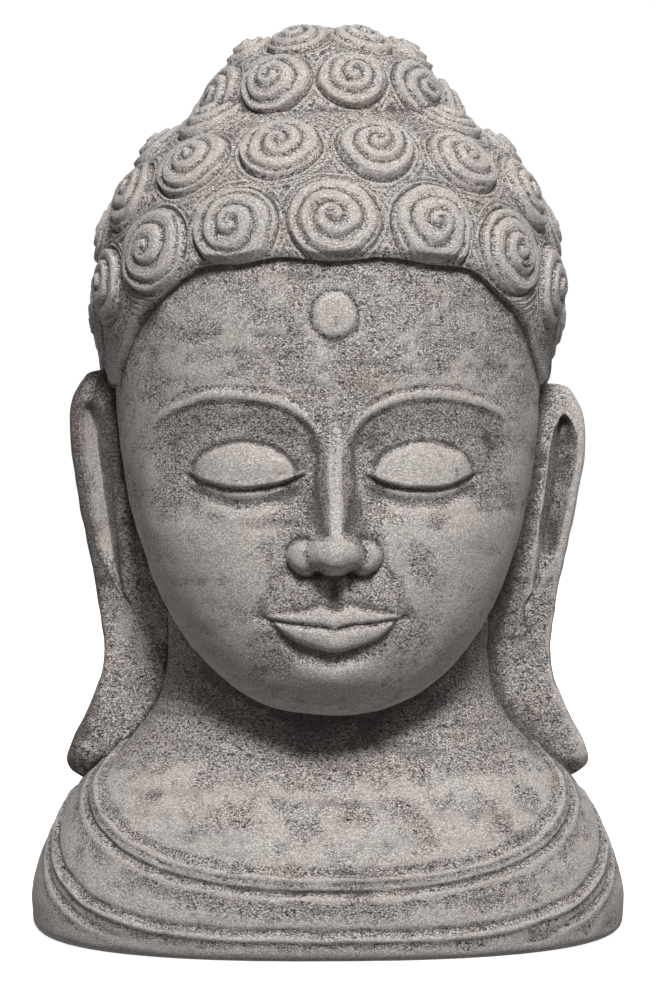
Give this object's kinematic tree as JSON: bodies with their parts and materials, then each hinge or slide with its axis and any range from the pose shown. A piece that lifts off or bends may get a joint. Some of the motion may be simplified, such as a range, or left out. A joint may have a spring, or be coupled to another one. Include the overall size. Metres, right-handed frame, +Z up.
{
  "type": "stone buddha head bust",
  "caption": "Carved stone head of a meditating figure with snail curls, topknot and long ears, cut flat below the robed shoulders.",
  "frame": {"origin": "middle of the flat underside", "axes": "+Z up through the crown, -Y towards the face's front, +X towards the figure's left ear"},
  "size_m": [0.5248, 0.445, 0.7995],
  "materials": {
    "carved_stone": "tooled matt grey stone with dark grain"
  },
  "bodies": {
    "root": {"stone_bust": "carved_stone"}
  },
  "joints": []
}
